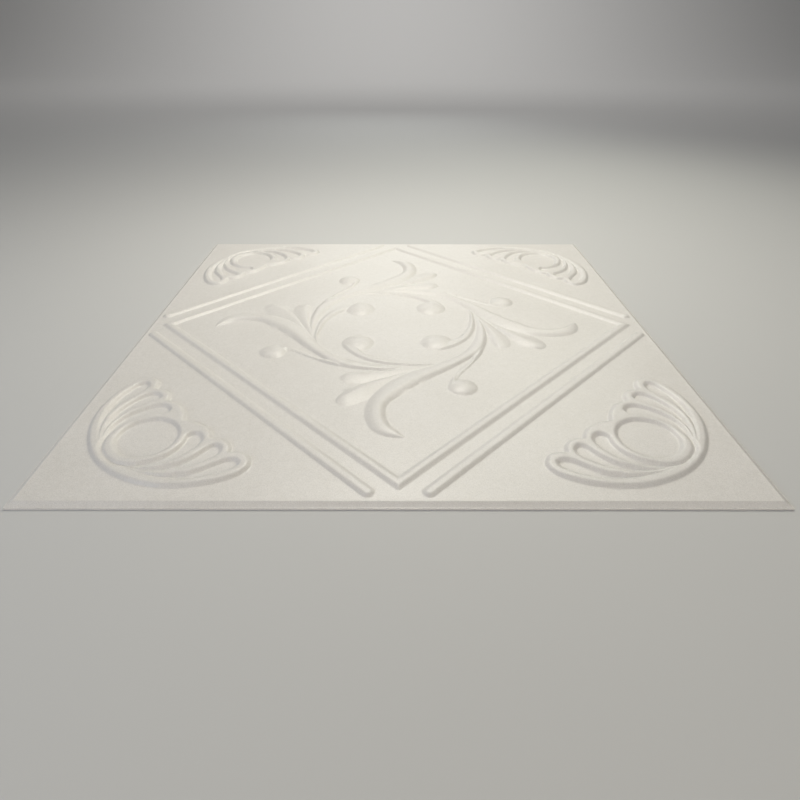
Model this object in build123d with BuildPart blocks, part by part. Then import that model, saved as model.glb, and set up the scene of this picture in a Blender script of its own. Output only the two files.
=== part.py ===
from build123d import *
import math
import os

# Moulded polystyrene ceiling tile, one piece, face up. Millimetres.
# Origin: centre of the flat back. +Z points out of the decorated face.

# ---- sheet ----
SIDE = 500.0            # square module of the tile
SHEET = 3.5             # thickness of the plain field
BEVEL_RUN = 4.2         # bevel round the face, measured across the face
BEVEL_DROP = 2.0        # and down the cut edge
SINK = 0.6              # how far every ornament is rooted in the sheet

# ---- diamond frame ----
RIB_REACH = 229.8       # centre line of the closed rib: |x| + |y|
RIB_WIDTH = 9.3
RIB_RISE = 2.4
BAR_REACH = 258.1       # centre line of the four loose bars: |x| + |y|
BAR_WIDTH = 9.8
BAR_RISE = 2.4
BAR_END = 237.9         # how far from the centre lines a bar ends

# ---- wreath: one quarter, repeated four times about the centre ----
INNER_DOME_R = 15.2
INNER_DOME_RISE = 3.2
INNER_DOME_AT = (38.5, -37.0)
OUTER_DOME_R = 12.3
OUTER_DOME_RISE = 2.9
OUTER_DOME_AT = (54.8, -114.9)

HORN_RISE = 2.8         # the long curved horn that runs into the ring of the wreath
HORN_ROUND = 1.6        # rounding of its upper edges
HORN_OUT = [(5.5, -182), (-10, -180.3), (-17, -176), (-22, -168.5), (-25, -159), (-25.7, -148), (-21, -127.5),
            (-10.5, -109.5), (3, -96), (20, -86), (37, -76), (48, -69), (59, -59), (68, -46), (74.5, -31), (79.8, -10),
            (81.6, 10), (81.3, 24)]
HORN_BACK = [(81.3, 24), (87, 5), (88.3, -15), (86.3, -34), (81, -50.5), (73, -62), (63, -71), (44, -88.5),
             (28, -101.5), (10, -118.5), (-5, -135.5), (-9.3, -150), (-8, -160), (-5, -168), (5.5, -182)]

LEAF_RISE = 2.0         # the two round-ended leaves beside the horn
LEAF_ROUND = 1.0
UPPER_LEAF = [(32, -82), (15, -84.3), (0, -86.3), (-20, -89.4), (-38, -91), (-47, -95.3), (-49.2, -100), (-47, -104.5),
              (-39, -108.3), (-26, -107.5), (-8, -99.8), (12, -92), (32, -87)]
LOWER_LEAF = [(32, -83.5), (15, -87.5), (5, -92.5), (-15, -102), (-33, -112.3), (-45.5, -124), (-49.8, -134.8),
              (-47, -140.2), (-39, -141.2), (-26, -133.5), (-14, -118), (0, -104), (15, -96), (32, -90)]

HOOK_RISE = 2.1         # the slim hook that comes out of each inner dome
HOOK_ROUND = 0.9
HOOK_OUT = [(-43, -37), (-50.3, -46), (-46, -55), (-38, -62.3), (-27, -70.8), (-14, -78), (0, -83), (12, -83.8),
            (24, -82.6), (38, -80)]
HOOK_BACK = [(41, -76), (28, -75.7), (15, -75.2), (5, -74), (-5, -71.6), (-15, -68), (-25, -62.5), (-33, -54), (-36, -46)]

STEM_RISE = 1.2         # the stem between each outer dome and the ring
STEM_OUT = [(42.8, -113), (45.2, -103), (50.5, -92.5), (58, -81.5), (66, -70), (72, -60)]
STEM_BACK = [(76, -62), (70.5, -73.5), (62.5, -85), (54.5, -95), (52, -108)]

# ---- corner shells: one half, mirrored in the diagonal of the tile ----
EYE_AT = 183.0
EYE_R = 21.1            # the plain round eye of the shell
SHELL_RISE = 2.5
SHELL_ROUND = 1.2
LOBE_1 = [(161.3, -161.3), (152, -164.2), (140.5, -172), (135.2, -182.8)]
LOBE_2 = [(135.2, -182.8), (125.5, -184.8), (118.8, -193), (118, -198.6)]
LOBE_3 = [(118, -198.6), (107.5, -200.2), (101.2, -209.5), (105.5, -221), (118, -228.6), (137, -233.6), (159, -234),
          (181, -228), (200, -217.5), (211.2, -207.8), (214.2, -204.8)]
HOLLOW_1 = [(111, -211), (113, -208.8), (118, -208.6), (124.5, -212.3), (133, -218.3), (141, -222.6), (150, -224.6),
            (141, -225.2), (133, -223.8), (125, -221.2), (118, -218), (112.8, -214.6)]
HOLLOW_2 = [(127, -199.5), (127.6, -195.2), (131, -192.6), (134.7, -195.3), (142, -205.2), (155, -214.6), (161, -217.1),
            (154, -217), (147.5, -214.9), (141, -211.8), (130, -203.8)]
HOLLOW_3 = [(143.3, -186), (145.2, -181.3), (149.5, -179), (153.1, -182), (155.5, -194.5), (163.7, -205.8), (178, -213.1),
            (167, -211.9), (154, -204), (144.9, -192)]


def crown(width, rise):
    """radius of the arc that spans width and rises by rise"""
    return (width * width / 4 + rise * rise) / (2 * rise)


rib_r = crown(RIB_WIDTH, RIB_RISE)
bar_r = crown(BAR_WIDTH, BAR_RISE)
inner_r = crown(2 * INNER_DOME_R, INNER_DOME_RISE)
outer_r = crown(2 * OUTER_DOME_R, OUTER_DOME_RISE)

quarter = [(1, 0), (0, 1), (-1, 0), (0, -1)]
bar_len = (2 * BAR_END - BAR_REACH) * math.sqrt(2)
root = Plane.XY.offset(SHEET - SINK)

# ---- the raised ornaments of one quarter, rooted in the sheet ----
with BuildPart() as horn:
    with BuildSketch(root):
        with BuildLine():
            Spline(*HORN_OUT)
            Spline(*HORN_BACK)
        make_face()
    extrude(amount=SINK + HORN_RISE)
    fillet(horn.faces().sort_by(Axis.Z)[-1].edges(), radius=HORN_ROUND)

with BuildPart() as upper_leaf:
    with BuildSketch(root):
        with BuildLine():
            Spline(*UPPER_LEAF)
            Line(UPPER_LEAF[-1], UPPER_LEAF[0])
        make_face()
    extrude(amount=SINK + LEAF_RISE)
    fillet(upper_leaf.faces().sort_by(Axis.Z)[-1].edges(), radius=LEAF_ROUND)

with BuildPart() as lower_leaf:
    with BuildSketch(root):
        with BuildLine():
            Spline(*LOWER_LEAF)
            Line(LOWER_LEAF[-1], LOWER_LEAF[0])
        make_face()
    extrude(amount=SINK + LEAF_RISE)
    fillet(lower_leaf.faces().sort_by(Axis.Z)[-1].edges(), radius=LEAF_ROUND)

with BuildPart() as hook:
    with BuildSketch(root):
        with BuildLine():
            Spline(*HOOK_OUT)
            Line(HOOK_OUT[-1], HOOK_BACK[0])
            Spline(*HOOK_BACK)
            Line(HOOK_BACK[-1], HOOK_OUT[0])
        make_face()
    extrude(amount=SINK + HOOK_RISE)
    fillet(hook.faces().sort_by(Axis.Z)[-1].edges(), radius=HOOK_ROUND)

with BuildPart() as stem:
    with BuildSketch(root):
        with BuildLine():
            Spline(*STEM_OUT)
            Line(STEM_OUT[-1], STEM_BACK[0])
            Spline(*STEM_BACK)
            Line(STEM_BACK[-1], STEM_OUT[0])
        make_face()
    extrude(amount=SINK + STEM_RISE)

# a corner shell: a lobed pad with three hollows each side and a round eye
with BuildPart() as shell:
    with BuildSketch(root):
        with BuildLine():
            for run in (LOBE_1, LOBE_2, LOBE_3):
                Spline(*run)
                Spline(*[(-y, -x) for x, y in run])
        make_face()
        for hollow in (HOLLOW_1, HOLLOW_2, HOLLOW_3):
            for points in (hollow, [(-y, -x) for x, y in hollow]):
                with BuildLine():
                    Spline(*points, periodic=True)
                make_face(mode=Mode.SUBTRACT)
        with Locations((EYE_AT, -EYE_AT)):
            Circle(EYE_R, mode=Mode.SUBTRACT)
    extrude(amount=SINK + SHELL_RISE)
    fillet(shell.faces().sort_by(Axis.Z)[-1].edges(), radius=SHELL_ROUND)

with BuildPart() as ceiling_tile:
    # the sheet: a plain cut edge below, and the bevel all round its face above
    Box(SIDE, SIDE, SHEET - BEVEL_DROP, align=(Align.CENTER, Align.CENTER, Align.MIN))
    with BuildSketch(Plane.XY.offset(SHEET - BEVEL_DROP)):
        Rectangle(SIDE, SIDE)
    with BuildSketch(Plane.XY.offset(SHEET)):
        Rectangle(SIDE - 2 * BEVEL_RUN, SIDE - 2 * BEVEL_RUN)
    loft()

    # closed diamond rib: a rounded bead round a square turned by 45 degrees
    half = RIB_WIDTH / 2
    mid = (RIB_REACH / 2, RIB_REACH / 2)
    for c, s in quarter:
        side_plane = Plane(
            origin=(mid[0] * c - mid[1] * s, mid[0] * s + mid[1] * c, SHEET),
            x_dir=(c - s, s + c, 0),
            z_dir=(-c - s, c - s, 0),
        )
        with BuildSketch(side_plane) as rib_section:
            with BuildLine():
                ThreePointArc((half, 0), (0, RIB_RISE), (-half, 0))
                Polyline((-half, 0), (-half, -SINK), (half, -SINK), (half, 0))
            make_face()
        # a mitred length of bead
        side = extrude(rib_section.sketch, amount=RIB_REACH / math.sqrt(2) + RIB_WIDTH, both=True, mode=Mode.PRIVATE)
        wedge_reach = RIB_REACH + 3 * RIB_WIDTH
        with BuildSketch(Plane.XY.offset(SHEET - 1), mode=Mode.PRIVATE) as wedge_outline:
            with BuildLine():
                Polyline((0, 0), (wedge_reach * c, wedge_reach * s), (-wedge_reach * s, wedge_reach * c), close=True)
            make_face()
        wedge = extrude(wedge_outline.sketch, amount=10, mode=Mode.PRIVATE)
        add(side & wedge)

    # four loose bars outside it, with round ends
    bar_mid = BAR_REACH / 2
    half = BAR_WIDTH / 2
    for c, s in quarter:
        bx, by = bar_mid * c - bar_mid * s, bar_mid * s + bar_mid * c
        bar_plane = Plane(origin=(bx, by, SHEET), x_dir=(c - s, s + c, 0), z_dir=(-c - s, c - s, 0))
        with BuildSketch(bar_plane) as bar_section:
            with BuildLine():
                ThreePointArc((half, 0), (0, BAR_RISE), (-half, 0))
                Polyline((-half, 0), (-half, -SINK), (half, -SINK), (half, 0))
            make_face()
        extrude(bar_section.sketch, amount=bar_len / 2, both=True)
        for e in (-1, 1):
            ex = bx + e * bar_len / 2 * (-c - s) / math.sqrt(2)
            ey = by + e * bar_len / 2 * (c - s) / math.sqrt(2)
            with BuildSketch(Plane(origin=(ex, ey, SHEET), x_dir=(1, 0, 0), z_dir=(0, -1, 0))) as cap_section:
                with BuildLine():
                    RadiusArc((0, BAR_RISE), (half, 0), bar_r)
                    Polyline((half, 0), (half, -SINK), (0, -SINK), (0, BAR_RISE))
                make_face()
            revolve(cap_section.sketch, axis=Axis((ex, ey, SHEET), (0, 0, 1)))

    # the eight domes of the wreath
    for (dx, dy), radius, rise, r in (
        (INNER_DOME_AT, INNER_DOME_R, INNER_DOME_RISE, inner_r),
        (OUTER_DOME_AT, OUTER_DOME_R, OUTER_DOME_RISE, outer_r),
    ):
        for c, s in quarter:
            px, py = dx * c - dy * s, dx * s + dy * c
            with BuildSketch(Plane(origin=(px, py, SHEET), x_dir=(1, 0, 0), z_dir=(0, -1, 0))) as dome_section:
                with BuildLine():
                    RadiusArc((0, rise), (radius, 0), r)
                    Polyline((radius, 0), (radius, -SINK), (0, -SINK), (0, rise))
                make_face()
            revolve(dome_section.sketch, axis=Axis((px, py, SHEET), (0, 0, 1)))

    # the rest of the ornament, four times round the centre
    for ornament in (horn, upper_leaf, lower_leaf, hook, stem, shell):
        with PolarLocations(0, 4):
            add(ornament.part)

ceiling_tile.part.label = "ceiling_tile"

os.makedirs("parts", exist_ok=True)
export_step(ceiling_tile.part, "parts/ceiling_tile.step")
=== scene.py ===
import math

import bpy
import numpy as np
from mathutils import Matrix, Vector


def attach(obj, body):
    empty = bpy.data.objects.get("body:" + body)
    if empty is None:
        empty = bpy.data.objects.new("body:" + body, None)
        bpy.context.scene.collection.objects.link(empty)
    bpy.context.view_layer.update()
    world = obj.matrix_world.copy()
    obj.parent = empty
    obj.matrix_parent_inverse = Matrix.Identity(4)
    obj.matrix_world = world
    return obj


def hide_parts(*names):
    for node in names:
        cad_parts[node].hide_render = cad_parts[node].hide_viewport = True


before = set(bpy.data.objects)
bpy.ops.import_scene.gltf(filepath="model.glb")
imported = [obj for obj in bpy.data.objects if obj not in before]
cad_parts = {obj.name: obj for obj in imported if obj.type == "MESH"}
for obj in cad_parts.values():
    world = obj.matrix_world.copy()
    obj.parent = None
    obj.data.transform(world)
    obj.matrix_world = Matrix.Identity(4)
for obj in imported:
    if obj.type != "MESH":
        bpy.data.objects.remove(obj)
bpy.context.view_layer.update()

# ---------------------------------------------------------------------------
# The tile, in millimetres from the centre of its back. One moulded sheet, with
# a bevel round the face and all the ornament pressed up out of the same foam.
# ---------------------------------------------------------------------------
SIDE = 500.0
SHEET = 3.5
BEVEL_RUN = 4.2
BEVEL_DROP = 2.0
LIP = 0.6       # narrow level lip between the bevel and the cut edge

RIB_OFF, RIB_HALF, RIB_H = 162.49, 4.66, 1.9
BAR_OFF, BAR_HALF, BAR_H = 182.5, 4.88, 1.9
FLANK = 3.3
BAR_LEN = (237.9 - 20.2) / 2 * 2 ** 0.5
DOME_IN = (38.5, -37.0, 15.2, 3.6)
DOME_OUT = (54.8, -114.9, 12.3, 3.2)
EYE = (183.0, -183.0)
EYE_R = 21.1

# Outlines of one quarter of the wreath: lists of smooth runs, joined at corners.
ARM = [[(5.5, -182), (-3, -182), (-10, -180.3), (-17, -176), (-22, -168.5), (-25, -159), (-25.7, -148), (-24.3, -138),
        (-21, -127.5), (-16.5, -118.5), (-10.5, -109.5), (-4, -102), (3, -96), (11, -91), (20, -86), (30, -80), (37, -76), (42, -73),
        (48, -69), (54, -64), (59, -59), (64, -52.5), (68, -46), (71, -40), (74.5, -31), (77.5, -21), (79.8, -10),
        (81, 0), (81.6, 10), (81.3, 24)],
       [(81.3, 24), (85, 13), (87, 5), (88, -5), (88.3, -15), (87.6, -25), (86.3, -34), (84, -43.5), (81, -50.5),
        (77.5, -57), (73, -62), (68, -66.5), (63, -71), (58, -76), (52, -81.5), (44, -88.5), (36, -95), (28, -101.5),
        (20, -108.7), (15, -113.3), (10, -118.5), (5, -124), (0, -129.5), (-5, -135.5), (-8.5, -142.5), (-9.3, -150),
        (-8, -160), (-5, -168), (0, -174.5), (5.5, -182)]]
LEAF_A = [[(24, -81.5), (10, -84), (0, -86.3), (-10, -88.2), (-20, -89.4), (-30, -90.2), (-38, -91), (-44, -93), (-48, -96.3),
           (-49.2, -100)],
          [(-49.2, -100), (-47.5, -104), (-44, -106.8), (-39, -108.3), (-33, -108.6), (-26, -107.5), (-18, -104.5),
           (-8, -99.8), (2, -95), (12, -90), (24, -83)], [(24, -83), (24, -81.5)]]
LEAF_B = [[(26, -83), (15, -87.5), (5, -92.5), (-5, -97.2), (-15, -102), (-25, -107.5), (-33, -112.3), (-40, -118),
           (-45.5, -124), (-49, -130), (-49.8, -134.8), (-48, -139)],
          [(-48, -139), (-44, -141.2), (-39, -141.2), (-33, -138.5), (-26, -133.5), (-20, -127.5), (-14, -118), (-7, -109),
           (0, -102), (8, -96), (18, -90), (26, -84.5)],
          [(26, -84.5), (26, -83)]]
HOOK = [[(-52.3, -37), (-51.2, -43.5), (-47.5, -51), (-41.5, -59), (-34, -66.3), (-26, -71.6), (-16, -75.9), (-6, -78.6),
         (5, -80), (15, -80.4), (27, -79.8), (37, -75.9)],
        [(37, -75.9), (36.8, -75.2)],
        [(36.8, -75.2), (28, -76.3), (20, -76), (10, -74.7), (0, -72.5), (-10, -69.2), (-19, -64.8), (-27, -59.2), (-33, -53), (-35, -48)],
        [(-35, -48), (-52.3, -37)]]
STEM = [[(42.8, -116), (43.6, -110), (45.6, -104), (48, -98.5), (51, -93), (54.6, -87.5), (58.6, -82), (62.6, -76.5),
         (66.5, -70), (70, -62), (75, -52)],
        [(75, -52), (82.3, -47.5)],
        [(82.3, -47.5), (80.3, -53.8), (77.8, -60), (74.5, -66.2), (70.5, -72.4), (66.5, -78.7), (62.5, -84.8),
         (58.5, -90.2), (54.8, -95.6), (52, -101.2), (51.5, -107)],
        [(51.5, -107), (42.8, -116)]]
STEM_GROOVE = [(49.3, -103), (51.5, -97), (54.8, -91.3), (58.6, -86), (62.4, -80.3), (66, -74.5), (69.5, -68)]

# One half of a corner shell; the other half is its mirror image in the diagonal y = -x.
SHELL_OUT = [[(161.3, -161.3), (156, -162.5), (152, -164.2), (146, -167.6), (140.5, -172), (136.8, -177.5), (135.2, -182.8)],
             [(135.2, -182.8), (130.5, -182.9), (125.5, -184.8), (121.3, -188.5), (118.8, -193), (118, -198.6)],
             [(118, -198.6), (113, -198.4), (107.5, -200.2), (103.3, -204.2), (101.2, -209.5), (101.8, -215.5), (105.5, -221),
              (111, -225.3), (118, -228.6), (127, -231.7), (137, -233.6), (148, -234.5), (159, -234), (170, -231.8),
              (181, -228), (191, -223.2), (200, -217.5), (208, -210.9), (211.2, -207.8)]]
HOLLOW1 = [(111, -211), (113, -208.8), (118, -208.6), (124.5, -212.3), (133, -218.3), (141, -222.6), (150, -224.1),
           (150, -225.1), (141, -225.2), (133, -223.8), (125, -221.2), (118, -218), (112.8, -214.6)]
HOLLOW2 = [(127, -199.5), (127.6, -195.2), (131, -192.6), (134.7, -195.3), (138, -200), (142, -205.2), (147.5, -210.3), (155, -214.6), (161, -216.6),
           (161, -217.6), (154, -217), (147.5, -214.9), (141, -211.8), (135, -208), (130, -203.8)]
HOLLOW3 = [(143.3, -186), (145.2, -181.3), (149.5, -179), (153.1, -182), (153.7, -188), (155.5, -194.5), (159, -200.5), (163.7, -205.8), (170, -209.9),
           (178, -212.6), (178, -213.6), (167, -211.9), (160, -208.6), (154, -204), (149, -198.5), (144.9, -192)]
# Grooves that run on from the thin end of each hollow, and how far they are from full depth at each end.
TAIL1 = ([(150, -224.6), (158, -224.6), (167, -223.3), (176, -220.8), (186, -217)], 0.0, 2.2)
TAIL2 = ([(161, -217.1), (168, -217.9), (175, -217.6), (182, -216), (190, -212.6)], 0.0, 2.0)
TAIL3 = ([(178, -213.1), (184, -213.5), (190, -212.9), (196.5, -210.8), (204.6, -204.6)], 0.0, 0.6)
SHELL_H, SHELL_W = 2.6, 3.3

GRID = 2048
AX = np.linspace(-SIDE / 2, SIDE / 2, GRID + 1)
STEP = AX[1] - AX[0]


def spline(pts, step=0.8):
    """centripetal Catmull-Rom run through the points"""
    p = np.array(pts, float)
    if len(p) == 2:
        return p
    p = np.vstack([2 * p[0] - p[1], p, 2 * p[-1] - p[-2]])
    out = []
    for i in range(1, len(p) - 2):
        p0, p1, p2, p3 = p[i - 1:i + 3]
        t1 = np.linalg.norm(p1 - p0) ** 0.5
        t2 = t1 + np.linalg.norm(p2 - p1) ** 0.5
        t3 = t2 + np.linalg.norm(p3 - p2) ** 0.5
        n = max(2, int(np.ceil(np.linalg.norm(p2 - p1) / step)))
        t = np.linspace(t1, t2, n, endpoint=False)[:, None]
        a1 = (t1 - t) / t1 * p0 + t / t1 * p1
        a2 = (t2 - t) / (t2 - t1) * p1 + (t - t1) / (t2 - t1) * p2
        a3 = (t3 - t) / (t3 - t2) * p2 + (t - t2) / (t3 - t2) * p3
        b1 = (t2 - t) / t2 * a1 + t / t2 * a2
        b2 = (t3 - t) / (t3 - t1) * a2 + (t - t1) / (t3 - t1) * a3
        out.append((t2 - t) / (t2 - t1) * b1 + (t - t1) / (t2 - t1) * b2)
    out.append(p[-2][None])
    return np.vstack(out)


def loop(pts, step=0.8):
    """closed smooth run"""
    p = list(pts)
    q = spline(p[-3:] + p + p[:3], step)
    half = len(q) // 2
    a = int(np.argmin(np.hypot(*(q[:half] - p[0]).T)))
    b = half + int(np.argmin(np.hypot(*(q[half:] - p[0]).T)))
    return q[a:b]


def outline(runs, step=0.8):
    return np.vstack([spline(r, step)[:-1] for r in runs])


def inside(poly, X, Y):
    x, y = X.ravel(), Y.ravel()
    c = np.zeros(x.size, bool)
    for (x0, y0), (x1, y1) in zip(poly, np.roll(poly, -1, 0)):
        if y0 == y1:
            continue
        k = (y0 > y) != (y1 > y)
        k[k] = x[k] < (x1 - x0) * (y[k] - y0) / (y1 - y0) + x0
        c ^= k
    return c.reshape(X.shape)


def distance(poly, X, Y, closed=True, extra=None):
    """distance to a line of short pieces; extra is added, growing evenly along the line"""
    x, y = X.ravel().astype(np.float32), Y.ravel().astype(np.float32)
    best = np.full(x.size, 1e9, np.float32)
    n = len(poly) if closed else len(poly) - 1
    for i in range(n):
        x0, y0 = poly[i]
        x1, y1 = poly[(i + 1) % len(poly)]
        dx, dy = x1 - x0, y1 - y0
        l2 = dx * dx + dy * dy
        if l2 == 0:
            continue
        t = np.clip(((x - x0) * dx + (y - y0) * dy) / l2, 0, 1)
        d = np.hypot(x - x0 - t * dx, y - y0 - t * dy)
        if extra is not None:
            d = d + extra[0] + (extra[1] - extra[0]) * (i + t) / n
        np.minimum(best, d, out=best)
    return best.reshape(X.shape)


def bead(d, w, h, k=1.4):
    """section of a ridge: an even flank rounded over at its crest, full height at distance w inside the edge"""
    u = np.clip(d / w, 0, 1)
    return h * (1 - (1 - u) ** k)


def window(lo, hi):
    i0, i1 = np.searchsorted(AX, [lo[0] - 1e-6, hi[0] + 1e-6])
    j0, j1 = np.searchsorted(AX, [lo[1] - 1e-6, hi[1] + 1e-6])
    X, Y = np.meshgrid(AX[i0:i1], AX[j0:j1])
    return (slice(j0, j1), slice(i0, i1)), X, Y


def put(Z, runs, w, h, k=1.4):
    poly = outline(runs)
    sl, X, Y = window(poly.min(0) - 1, poly.max(0) + 1)
    z = np.where(inside(poly, X, Y), bead(distance(poly, X, Y), w, h, k), 0)
    Z[sl] = np.maximum(Z[sl], z)


def put_two(Z, runs, h, share, ka, kb, steep):
    """relief with two unlike flanks: share of the width to the crest from the first edge, a rounding for each flank,
    and a height that falls off with the width"""
    poly = outline(runs)
    sl, X, Y = window(poly.min(0) - 1, poly.max(0) + 1)
    m = inside(poly, X, Y)
    a = distance(spline(runs[0]), X[m], Y[m], closed=False)
    b = distance(spline(runs[1]), X[m], Y[m], closed=False)
    w = a + b + 1e-6
    fa = bead(a, share * w, 1, ka)
    fb = bead(b, (1 - share) * w, 1, kb)
    z = np.zeros(X.shape, np.float32)
    z[m] = h * np.tanh(steep * w / h) * np.minimum(fa, fb)
    Z[sl] = np.maximum(Z[sl], z)


def blur(Z, sigma):
    r = int(3 * sigma / STEP) + 1
    g = np.exp(-0.5 * (np.arange(-r, r + 1) * STEP / sigma) ** 2)
    g /= g.sum()
    for ax in (0, 1):
        P = np.pad(Z, [(r, r) if a == ax else (0, 0) for a in (0, 1)], mode="edge")
        out = np.zeros_like(Z)
        for i, gi in enumerate(g):
            out += gi * (P[i:i + Z.shape[0]] if ax == 0 else P[:, i:i + Z.shape[1]])
        Z = out
    return Z


def ornament():
    Q = np.zeros((GRID + 1, GRID + 1), np.float32)      # one quarter, turned four times below
    put_two(Q, ARM, 3.2, 0.65, 2.2, 1.5, 0.26)
    put_two(Q, LEAF_A, 2.5, 0.33, 1.5, 1.7, 0.2)
    put_two(Q, LEAF_B, 2.9, 0.33, 1.5, 1.5, 0.2)
    put(Q, HOOK, 3.2, 1.9)
    # the stem of the outer dome, with a fine groove along it
    poly = outline(STEM)
    sl, X, Y = window(poly.min(0) - 1, poly.max(0) + 1)
    z = bead(distance(poly, X, Y), 2.8, 1.9)
    z = z - 0.9 * np.exp(-0.5 * (distance(spline(STEM_GROOVE), X, Y, closed=False) / 0.55) ** 2)
    Q[sl] = np.maximum(Q[sl], np.where(inside(poly, X, Y), z, 0))
    for cx, cy, r, h in (DOME_IN, DOME_OUT):
        sl, X, Y = window((cx - r - 1, cy - r - 1), (cx + r + 1, cy + r + 1))
        z = h * np.maximum(1 - ((X - cx) ** 2 + (Y - cy) ** 2) / r ** 2, 0) ** 0.86
        Q[sl] = np.maximum(Q[sl], z)
    # one side of the closed diamond rib, mitred at its ends, and the round-ended bar outside it
    sl, X, Y = window((0, -250), (250, 0))
    u, v = (X - Y) / 2 ** 0.5, (X + Y) / 2 ** 0.5
    z = bead(RIB_HALF - np.abs(u - RIB_OFF), FLANK, RIB_H)
    e = np.hypot(u - BAR_OFF, np.maximum(np.abs(v) - BAR_LEN, 0))
    z = np.maximum(z, bead(BAR_HALF - e, FLANK, BAR_H))
    Q[sl] = np.maximum(Q[sl], z)
    # corner shell: its lower half, mirrored in the diagonal
    sl, X, Y = window((95, -242), (242, -95))
    half = outline(SHELL_OUT)
    other = -half[:, ::-1]
    m = inside(np.vstack([half, other[::-1][1:]]), X, Y) & (X + Y <= 1e-6)
    xs, ys = X[m], Y[m]
    d = np.minimum(distance(half, xs, ys, closed=False), distance(other, xs, ys, closed=False))
    rr = np.hypot(xs - EYE[0], ys - EYE[1])
    d = np.minimum(d, np.abs(rr - EYE_R))
    low = rr < EYE_R
    for pts in (HOLLOW1, HOLLOW2, HOLLOW3):
        ring = loop(pts)
        d = np.minimum(d, distance(ring, xs, ys))
        low |= inside(ring, xs, ys)
    for pts, e0, e1 in (TAIL1, TAIL2, TAIL3):
        d = np.minimum(d, distance(spline(pts), xs, ys, closed=False, extra=(e0, e1)))
    z = np.zeros(X.shape, np.float32)
    z[m] = np.where(low, 0, bead(d, SHELL_W, SHELL_H))
    z = np.maximum(z, z[::-1, ::-1].T)
    Q[sl] = np.maximum(Q[sl], z)
    Z = Q.copy()
    for k in (1, 2, 3):
        Z = np.maximum(Z, np.rot90(Q, k))
    return Z


def face_height():
    XX, YY = np.meshgrid(AX, AX)
    edge = SIDE / 2 - np.maximum(np.abs(XX), np.abs(YY))
    Z = blur(ornament(), 0.42) + SHEET
    Z -= blur(BEVEL_DROP * np.clip((BEVEL_RUN - edge) / (BEVEL_RUN - LIP), 0, 1), 0.3)
    Z += 0.16 * np.exp(-0.5 * ((edge - BEVEL_RUN - 0.5) / 0.5) ** 2)      # the arris stands a trace proud
    return Z


def adapt(Z, tol):
    """Right-triangle mesh over a (2^k + 1) square height grid: returns (vertex row/col, triangles)."""
    n = Z.shape[0] - 1
    E = np.zeros_like(Z)
    s = 1
    while s <= n // 2:
        # middles of the sides of squares 2s wide: long edges along X or Y
        for a, b in ((0, 1), (1, 0)):
            r = np.arange(s if a else 0, n + 1, 2 * s)
            c = np.arange(s if b else 0, n + 1, 2 * s)
            R, C = np.meshgrid(r, c, indexing="ij")
            if b:
                mid = (Z[R, C - s] + Z[R, C + s]) / 2
            else:
                mid = (Z[R - s, C] + Z[R + s, C]) / 2
            e = np.abs(Z[R, C] - mid)
            if s >= 2:
                h = s // 2
                for dr in (-h, h):
                    for dc in (-h, h):
                        rr, cc = R + dr, C + dc
                        ok = (rr >= 0) & (rr <= n) & (cc >= 0) & (cc <= n)
                        e = np.maximum(e, np.where(ok, E[np.clip(rr, 0, n), np.clip(cc, 0, n)], 0))
            E[R, C] = e
        # middles of those squares: long edges along a diagonal, towards the odd corner of the square twice as big
        r = np.arange(s, n + 1, 2 * s)
        R, C = np.meshgrid(r, r, indexing="ij")
        odd = ((R // (2 * s)) + (C // (2 * s))) % 2 == 0
        d1 = (Z[R - s, C - s] + Z[R + s, C + s]) / 2
        d2 = (Z[R - s, C + s] + Z[R + s, C - s]) / 2
        e = np.abs(Z[R, C] - np.where(odd, d1, d2))
        for dr, dc in ((0, s), (0, -s), (s, 0), (-s, 0)):
            e = np.maximum(e, E[R + dr, C + dc])
        E[R, C] = e
        s *= 2
    # split from the two halves of the whole square downwards; a triangle is long edge a-b and corner c
    A = np.array([[0, 0], [n, n]])
    B = np.array([[n, n], [0, 0]])
    C = np.array([[0, n], [n, 0]])
    done = []
    while len(A):
        M = (A + B) // 2
        leaf = (np.abs(A - B).max(1) <= 1) | (E[M[:, 0], M[:, 1]] <= tol)
        done.append(np.stack([A[leaf], B[leaf], C[leaf]], 1))
        A, B, C, M = A[~leaf], B[~leaf], C[~leaf], M[~leaf]
        A, B, C = np.vstack([C, B]), np.vstack([A, C]), np.vstack([M, M])
    T = np.vstack(done)
    key = T[..., 0] * (n + 1) + T[..., 1]
    used, tri = np.unique(key, return_inverse=True)
    return np.stack([used // (n + 1), used % (n + 1)], 1), tri.reshape(-1, 3)


Z = face_height()
rc, tri = adapt(Z, 0.084)
gy, gx = np.gradient(Z, STEP)
n_top = len(rc)
top = np.stack([AX[rc[:, 1]], AX[rc[:, 0]], Z[rc[:, 0], rc[:, 1]]], 1)
nrm = np.stack([-gx[rc[:, 0], rc[:, 1]], -gy[rc[:, 0], rc[:, 1]], np.ones(n_top)], 1)
nrm /= np.linalg.norm(nrm, axis=1)[:, None]
# every triangle counter-clockwise seen from above
a, b, c = top[tri[:, 0]], top[tri[:, 1]], top[tri[:, 2]]
turn = (b[:, 0] - a[:, 0]) * (c[:, 1] - a[:, 1]) - (b[:, 1] - a[:, 1]) * (c[:, 0] - a[:, 0])
tri[turn < 0] = tri[turn < 0][:, ::-1]
print("face triangles", len(tri))

# the plain back, and the cut edge between the two
BACK = 10
bx = np.linspace(-SIDE / 2, SIDE / 2, BACK + 1)
BX, BY = np.meshgrid(bx, bx)
back = np.stack([BX.ravel(), BY.ravel(), np.zeros(BX.size)], 1)
j, i = np.meshgrid(np.arange(BACK), np.arange(BACK), indexing="ij")
q = (j * (BACK + 1) + i).ravel()
back_quads = np.stack([q, q + BACK + 1, q + BACK + 2, q + 1], 1) + n_top

verts = np.vstack([top, back])


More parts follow.
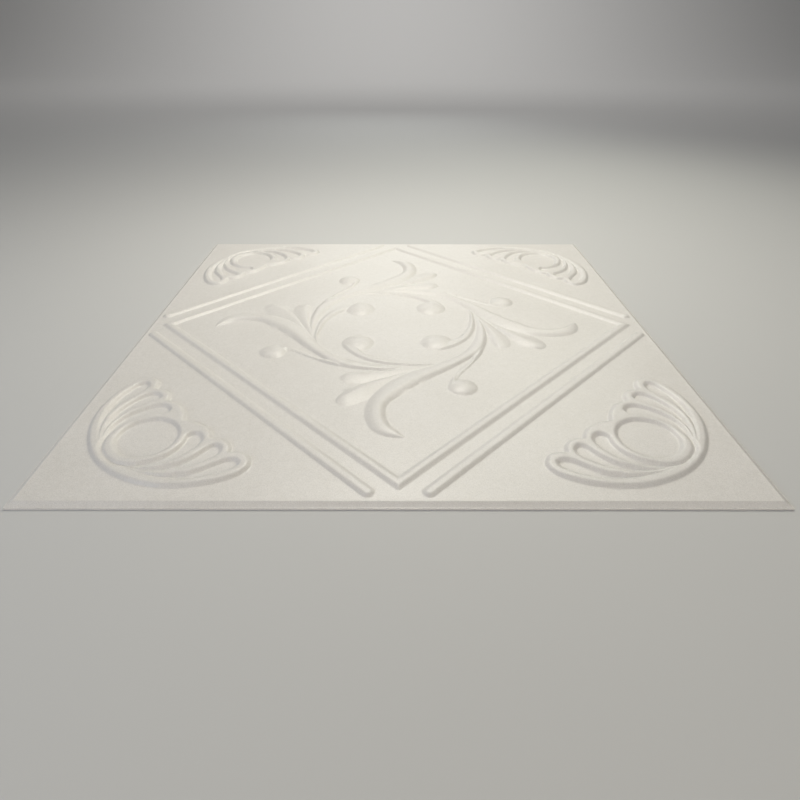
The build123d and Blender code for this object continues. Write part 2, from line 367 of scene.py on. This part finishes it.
def rim(points, offset):
    """for each side of the tile, the indices of its points in counter-clockwise order"""
    out = []
    h = SIDE / 2 - 1e-6
    x, y = points[:, 0], points[:, 1]
    for mask, along in ((y < -h, x), (x > h, y), (y > h, -x), (x < -h, -y)):
        k = np.nonzero(mask)[0]
        out.append(k[np.argsort(along[k])] + offset)
    return out


sides = []
side_dir = []
for s, (up, down) in enumerate(zip(rim(top, 0), rim(back, n_top))):
    axis, sign = ((0, 1), (1, 1), (0, -1), (1, -1))[s]
    pu, pd = verts[up, axis] * sign, verts[down, axis] * sign
    i = j = 0
    while i < len(up) - 1 or j < len(down) - 1:
        if j == len(down) - 1 or (i < len(up) - 1 and pu[i + 1] <= pd[j + 1]):
            sides.append((up[i], down[j], up[i + 1]))
            i += 1
        else:
            sides.append((up[i], down[j], down[j + 1]))
            j += 1
        side_dir.append(((0, -1, 0), (1, 0, 0), (0, 1, 0), (-1, 0, 0))[s])
sides = np.array(sides)

mesh = bpy.data.meshes.new("tile_foam")
tris = np.vstack([tri, sides])
loops = np.concatenate([tris.ravel(), back_quads.ravel()]).astype(np.int32)
starts = np.concatenate([np.arange(len(tris)) * 3, len(tris) * 3 + np.arange(len(back_quads)) * 4]).astype(np.int32)
mesh.vertices.add(len(verts))
mesh.vertices.foreach_set("co", (verts / 1000).ravel())
mesh.loops.add(len(loops))
mesh.loops.foreach_set("vertex_index", loops)
mesh.polygons.add(len(starts))
mesh.polygons.foreach_set("loop_start", starts)
mesh.update(calc_edges=True)
mesh.validate()
mesh.polygons.foreach_set("use_smooth", np.ones(len(mesh.polygons), bool))
# smooth normals of the moulded face, plain ones on the cut edge and the back
corner = np.zeros((len(loops), 3))
corner[:len(tri) * 3] = nrm[tri.ravel()]
corner[len(tri) * 3:len(tris) * 3] = np.repeat(np.array(side_dir, float), 3, axis=0)
corner[len(tris) * 3:, 2] = -1
mesh.normals_split_custom_set(corner.tolist())
tile = bpy.data.objects.new("tile_moulded_foam", mesh)
bpy.context.scene.collection.objects.link(tile)


# ---------------------------------------------------------------------------
# Material: fine-celled extruded polystyrene, off-white with a satin skin
# ---------------------------------------------------------------------------
def foam_material():
    m = bpy.data.materials.new("polystyrene_foam")
    m.use_nodes = True
    nt = m.node_tree
    N, L = nt.nodes, nt.links
    N.clear()
    out = N.new("ShaderNodeOutputMaterial")
    b = N.new("ShaderNodeBsdfPrincipled")
    L.new(b.outputs["BSDF"], out.inputs["Surface"])
    b.inputs["IOR"].default_value = 1.59
    b.inputs["Specular IOR Level"].default_value = 0.5
    b.inputs["Subsurface Weight"].default_value = 0.0
    tc = N.new("ShaderNodeTexCoord")

    def noise(scale, detail, rough=0.5):
        n = N.new("ShaderNodeTexNoise")
        n.inputs["Scale"].default_value = scale
        n.inputs["Detail"].default_value = detail
        n.inputs["Roughness"].default_value = rough
        L.new(tc.outputs["Object"], n.inputs["Vector"])
        return n

    cloud = noise(14, 3)          # faint clouds a few centimetres across
    mottle = noise(220, 3)        # soft mottle a few millimetres across
    grain = noise(1600, 2, 0.6)   # the cells of the foam
    ramp = N.new("ShaderNodeValToRGB")
    ramp.color_ramp.elements[0].position = 0.35
    ramp.color_ramp.elements[0].color = (0.735, 0.711, 0.685, 1)
    ramp.color_ramp.elements[1].position = 0.65
    ramp.color_ramp.elements[1].color = (0.775, 0.752, 0.732, 1)
    mixf = N.new("ShaderNodeMix")
    mixf.data_type = "FLOAT"
    mixf.inputs[0].default_value = 0.5
    L.new(cloud.outputs["Fac"], mixf.inputs[2])
    L.new(mottle.outputs["Fac"], mixf.inputs[3])
    L.new(mixf.outputs[0], ramp.inputs["Fac"])
    dark = N.new("ShaderNodeMapRange")
    dark.inputs["From Min"].default_value = 0.3
    dark.inputs["From Max"].default_value = 0.7
    dark.inputs["To Min"].default_value = 0.89
    dark.inputs["To Max"].default_value = 1.08
    L.new(grain.outputs["Fac"], dark.inputs["Value"])
    mul = N.new("ShaderNodeMix")
    mul.data_type = "RGBA"
    mul.blend_type = "MULTIPLY"
    mul.inputs[0].default_value = 1.0
    L.new(ramp.outputs["Color"], mul.inputs[6])
    L.new(dark.outputs["Result"], mul.inputs[7])
    L.new(mul.outputs[2], b.inputs["Base Color"])
    rough = N.new("ShaderNodeMapRange")
    rough.inputs["To Min"].default_value = 0.34
    rough.inputs["To Max"].default_value = 0.44
    L.new(mottle.outputs["Fac"], rough.inputs["Value"])
    L.new(rough.outputs["Result"], b.inputs["Roughness"])
    b1 = N.new("ShaderNodeBump")
    b1.inputs["Strength"].default_value = 0.5
    b1.inputs["Distance"].default_value = 0.00012
    L.new(grain.outputs["Fac"], b1.inputs["Height"])
    b2 = N.new("ShaderNodeBump")
    b2.inputs["Strength"].default_value = 0.35
    b2.inputs["Distance"].default_value = 0.0003
    L.new(mottle.outputs["Fac"], b2.inputs["Height"])
    L.new(b1.outputs["Normal"], b2.inputs["Normal"])
    L.new(b2.outputs["Normal"], b.inputs["Normal"])
    return m


mesh.materials.append(foam_material())
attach(tile, "root")
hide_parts("ceiling_tile")

# ---------------------------------------------------------------------------
# Floor, light and camera
# ---------------------------------------------------------------------------
fm = bpy.data.meshes.new("floor")
sweep = [(-3.0, 0.0), (3.0, 0.0)]
sweep += [(3.0 + 2.5 * math.sin(math.radians(t)), 2.5 - 2.5 * math.cos(math.radians(t))) for t in range(5, 91, 5)]
sweep.append((5.5, 6.0))
points = [(x, y, z) for y, z in sweep for x in (-9.0, 9.0)]
fm.from_pydata(points, [], [(2 * i, 2 * i + 1, 2 * i + 3, 2 * i + 2) for i in range(len(sweep) - 1)])
fm.polygons.foreach_set("use_smooth", np.ones(len(fm.polygons), bool))
floor = bpy.data.objects.new("floor", fm)
bpy.context.scene.collection.objects.link(floor)
mat = bpy.data.materials.new("floor_pale")
mat.use_nodes = True
mat.node_tree.nodes["Principled BSDF"].inputs["Base Color"].default_value = (0.6, 0.6, 0.6, 1)
mat.node_tree.nodes["Principled BSDF"].inputs["Roughness"].default_value = 0.8
fm.materials.append(mat)

world = bpy.data.worlds.new("studio")
bpy.context.scene.world = world
world.use_nodes = True
world.node_tree.nodes["Background"].inputs["Color"].default_value = (0.93, 0.96, 1.0, 1)
world.node_tree.nodes["Background"].inputs["Strength"].default_value = 0.04


def area(name, turn, height, power, color, size=0.6, away=1.6, at=(0, 0, 0)):
    """square soft light, turn degrees from +X and height degrees above the floor, aimed at a point"""
    a, e = math.radians(turn), math.radians(height)
    d = bpy.data.lights.new(name, "AREA")
    d.shape = "SQUARE"
    d.size = size
    d.energy = power
    d.color = color
    o = bpy.data.objects.new(name, d)
    bpy.context.scene.collection.objects.link(o)
    o.location = (away * math.cos(e) * math.cos(a), away * math.cos(e) * math.sin(a), away * math.sin(e))
    o.rotation_euler = (Vector(at) - o.location).to_track_quat("-Z", "Y").to_euler()


area("back_top", 88, 72, 2.65, (1.0, 0.97, 0.86), size=0.28, away=0.7)
area("back_right", 60, 40, 1.65, (0.98, 1.0, 0.84), size=0.43, away=1.15)
area("right_high", 45, 57, 0.8, (1.0, 0.96, 0.88), size=0.43, away=1.15)
area("right_low", 30, 40, 0.5, (1.0, 0.92, 0.83), size=0.43, away=1.15)
area("back_left", 135, 57, 1.1, (1.0, 0.92, 0.80), size=0.43, away=1.15)
area("back_low", 90, 25, 1.6, (0.96, 1.0, 0.96))
area("front", 270, 24, 5.7, (1.0, 0.86, 0.64))
area("front_left", 225, 24, 5.6, (0.68, 0.80, 1.0))
area("front_right", 315, 24, 1.3, (0.66, 0.80, 1.0))
area("backdrop", 90, 49, 75, (1.0, 0.98, 0.95), size=1.8, away=3.97, at=(0, 4.7, 0.7))

F, PITCH, YAW, ROLL = 538.0, math.radians(34.74), math.radians(-0.05), math.radians(0.07)
EYE_POINT = (-0.0040, -0.4900, 0.2511)
cam_data = bpy.data.cameras.new("camera")
cam_data.sensor_width = 36
cam_data.lens = F / 800 * 36
cam_data.shift_x = 0.009          # the photograph is cropped a little off its centre
cam_data.clip_start = 0.01
cam = bpy.data.objects.new("camera", cam_data)
bpy.context.scene.collection.objects.link(cam)
right = Vector((math.cos(YAW), math.sin(YAW), 0))
ahead = Vector((-math.sin(YAW), math.cos(YAW), 0))
look = ahead * math.cos(PITCH) + Vector((0, 0, -math.sin(PITCH)))
up = ahead * math.sin(PITCH) + Vector((0, 0, math.cos(PITCH)))
x_axis = right * math.cos(ROLL) + up * math.sin(ROLL)
y_axis = up * math.cos(ROLL) - right * math.sin(ROLL)
m = Matrix((x_axis, y_axis, -look)).transposed().to_4x4()
m.translation = Vector(EYE_POINT)
cam.matrix_world = m
bpy.context.scene.camera = cam
bpy.context.scene.view_settings.view_transform = "Standard"
